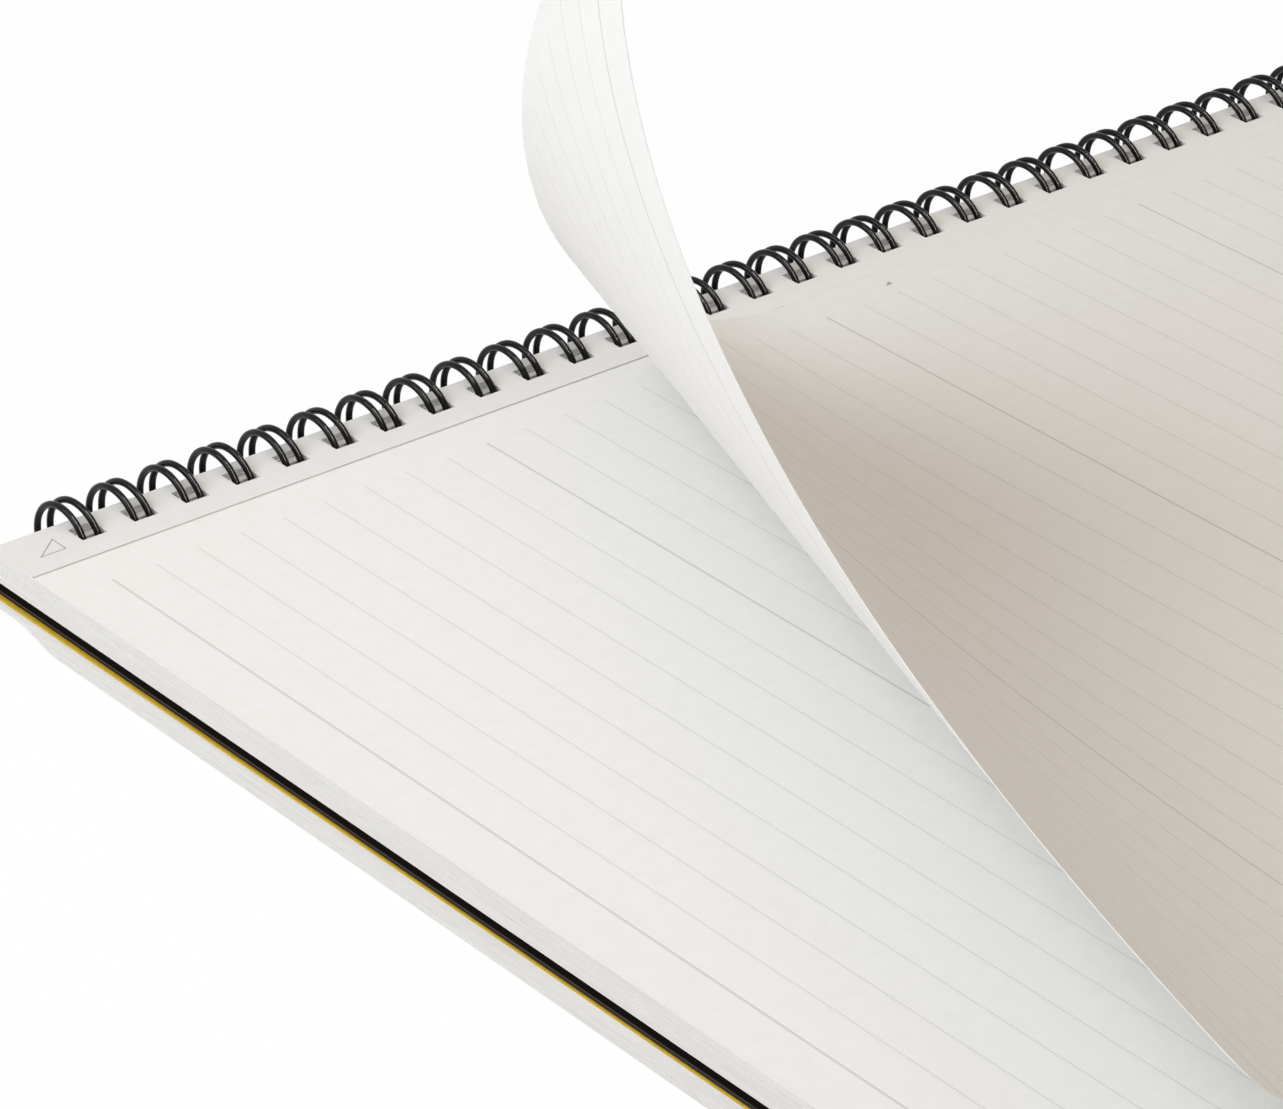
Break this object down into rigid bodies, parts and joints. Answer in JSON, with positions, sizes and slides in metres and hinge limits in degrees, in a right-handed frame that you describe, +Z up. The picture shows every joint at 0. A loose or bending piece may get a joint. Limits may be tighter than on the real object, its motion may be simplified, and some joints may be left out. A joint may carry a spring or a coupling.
{
  "type": "spiral notebook",
  "caption": "Side-bound double-wire notebook of ruled pages, folded back on itself with its covers back to back, one leaf half torn off and curling up.",
  "frame": {"origin": "middle of the flat face of the turned pages that the notebook rests on", "axes": "+X across the page away from the binding, +Y along the binding from the torn end, +Z up out of the page"},
  "size_m": [0.2289, 0.2976, 0.1043],
  "materials": {
    "pages": "uncoated",
    "leaf": "uncoated",
    "flyleaf": "uncoated",
    "front_cover": "matte",
    "back_cover": "matte",
    "wire": "nylon coated"
  },
  "bodies": {
    "turned_half": {"turned_pages": "pages", "flyleaf": "flyleaf", "front_cover": "front_cover"},
    "back_half": {"back_cover": "back_cover", "upper_pages": "pages", "raised_leaf": "leaf", "wire_binding": "wire"}
  },
  "joints": [
    {"name": "back_cover_hinge", "type": "hinge", "parent": "turned_half", "child": "back_half", "pos_m": [-0.11789, 0, 0.00655], "axis": [0, -1, 0], "range_deg": [0, 180]}
  ]
}
